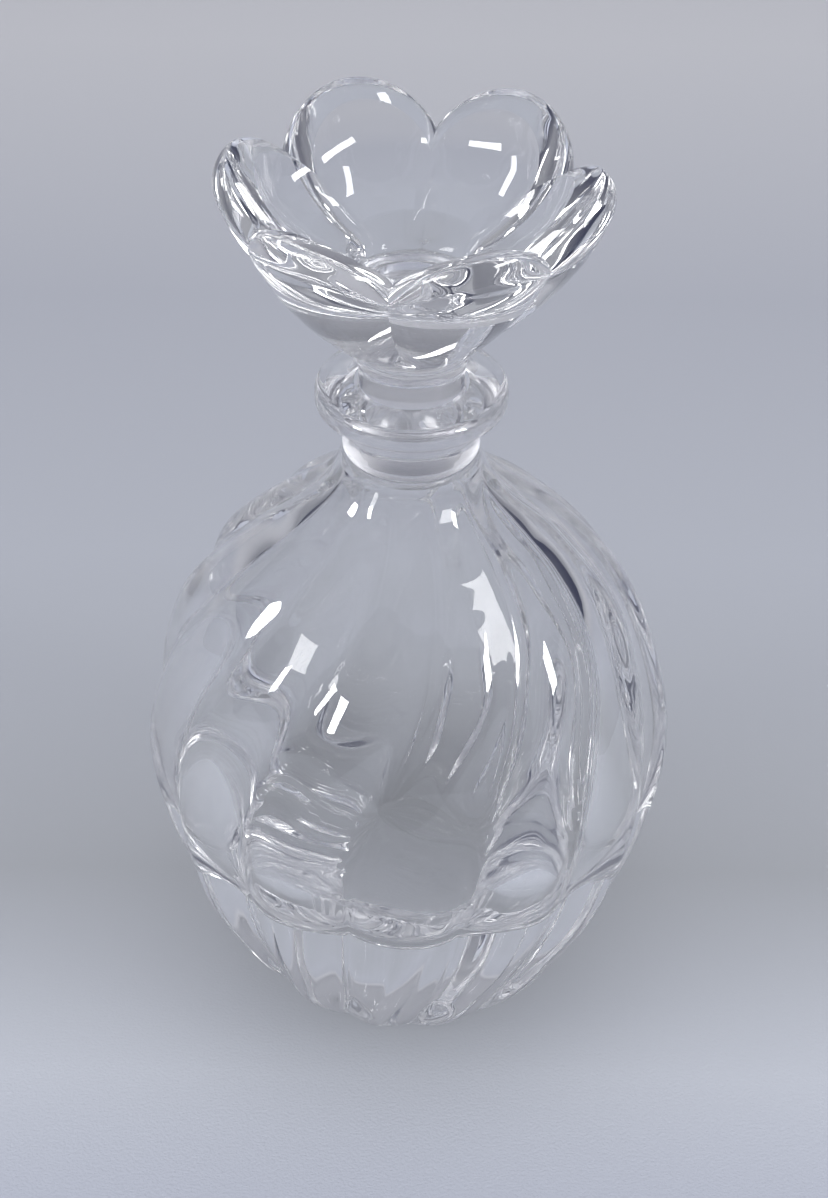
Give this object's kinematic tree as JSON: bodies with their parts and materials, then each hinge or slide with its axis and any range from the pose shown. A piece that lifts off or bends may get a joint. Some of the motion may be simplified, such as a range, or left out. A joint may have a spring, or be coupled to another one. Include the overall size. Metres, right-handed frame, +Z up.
{
  "type": "stoppered scent bottle",
  "caption": "Round clear crystal scent bottle with swirled lobes, a thick solid base, a flanged neck and a ground stopper that carries an open flower.",
  "frame": {"origin": "centre of the flat foot that the bottle stands on", "axes": "+Z up along the bottle's axis, which is also the stopper's axis; -Y is the front, between two petals of the flower"},
  "size_m": [0.0897, 0.0896, 0.163],
  "materials": {
    "clear_crystal": "fire-polished colourless lead crystal, refractive index about 1.54",
    "ground_glass": "lightly ground glass, nearly clear with a faint white haze"
  },
  "bodies": {
    "bottle": {"bottle": "clear_crystal"},
    "plug": {"stopper_plug": "ground_glass"},
    "head": {"flower_head": "clear_crystal"}
  },
  "joints": [
    {"name": "stopper_lift", "type": "slide", "parent": "bottle", "child": "plug", "axis": [0, 0, 1], "range_m": [0, 0.04]},
    {"name": "stopper_twist", "type": "hinge", "parent": "plug", "child": "head", "pos_m": [0, 0, 0.127], "axis": [0, 0, 1], "continuous": true}
  ]
}
